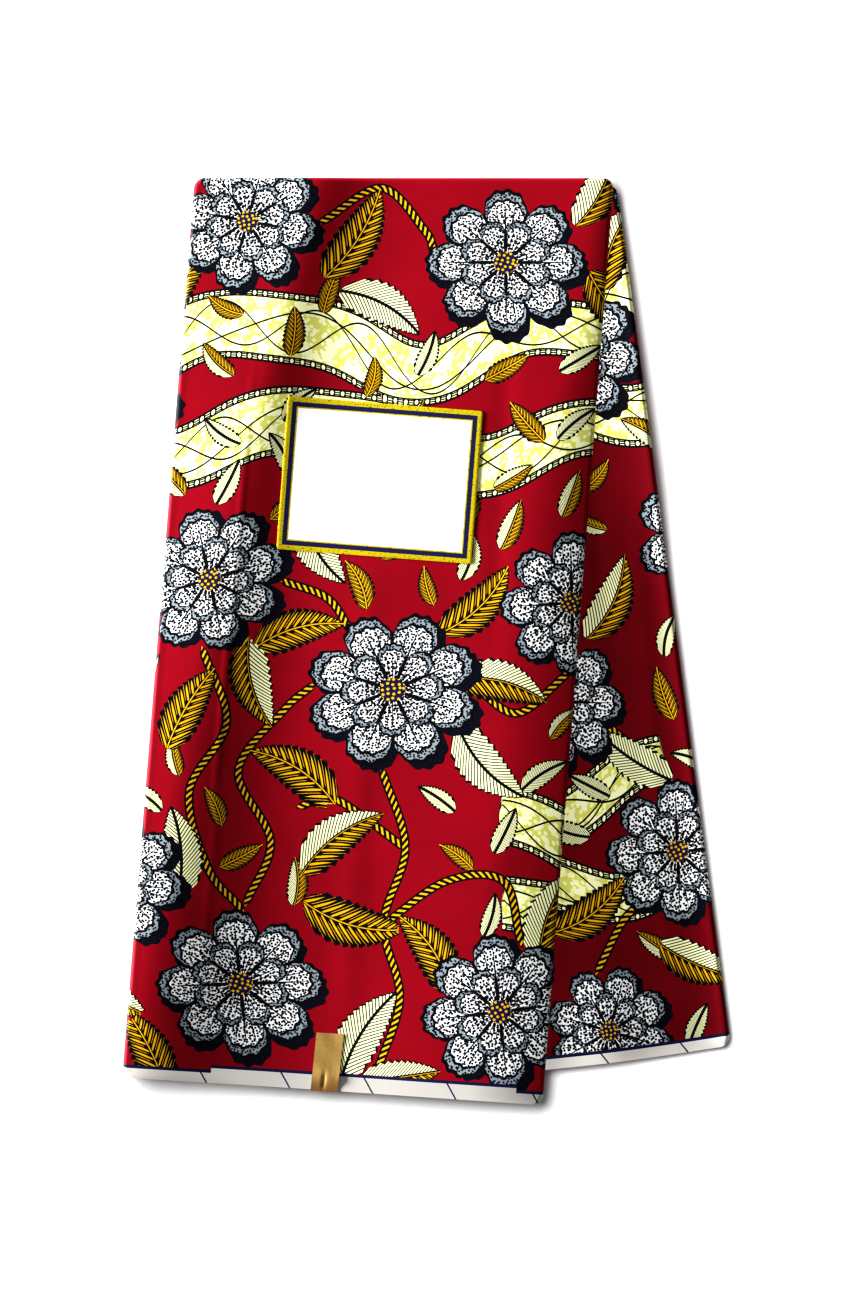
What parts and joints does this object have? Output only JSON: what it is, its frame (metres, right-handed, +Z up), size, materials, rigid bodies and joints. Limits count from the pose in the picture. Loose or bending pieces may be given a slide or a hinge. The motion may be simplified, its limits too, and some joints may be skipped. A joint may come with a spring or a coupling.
{
  "type": "wax print fabric",
  "caption": "Long wax print cotton cloth folded into a flat stack of panels, fanned into a front and a rear group, with a blank paper label and a foil seal at the hem.",
  "frame": {"origin": "centre of the bounding box's base, on the surface the cloth lies on", "axes": "+Y from the selvedges towards the folded end, +X to the right as seen from above, +Z up"},
  "size_m": [0.3876, 0.5924, 0.0302],
  "materials": {
    "printed_cotton": "plain-woven cotton with a light satin calender finish, deep red wax print with cream, gold, white, navy and black",
    "folded_cotton": "the stacked fold edges of the same cotton, red with streaks of the print, and cream selvedges at the hem",
    "label_paper": "smooth white label paper with a gold foil border and a navy band",
    "gold_foil": "satin gold metallised foil"
  },
  "bodies": {
    "root": {"rear_layers": "folded_cotton", "rear_panel": "printed_cotton", "front_layers": "folded_cotton", "front_panel": "printed_cotton", "paper_label": "label_paper", "foil_seal": "gold_foil"}
  },
  "joints": []
}
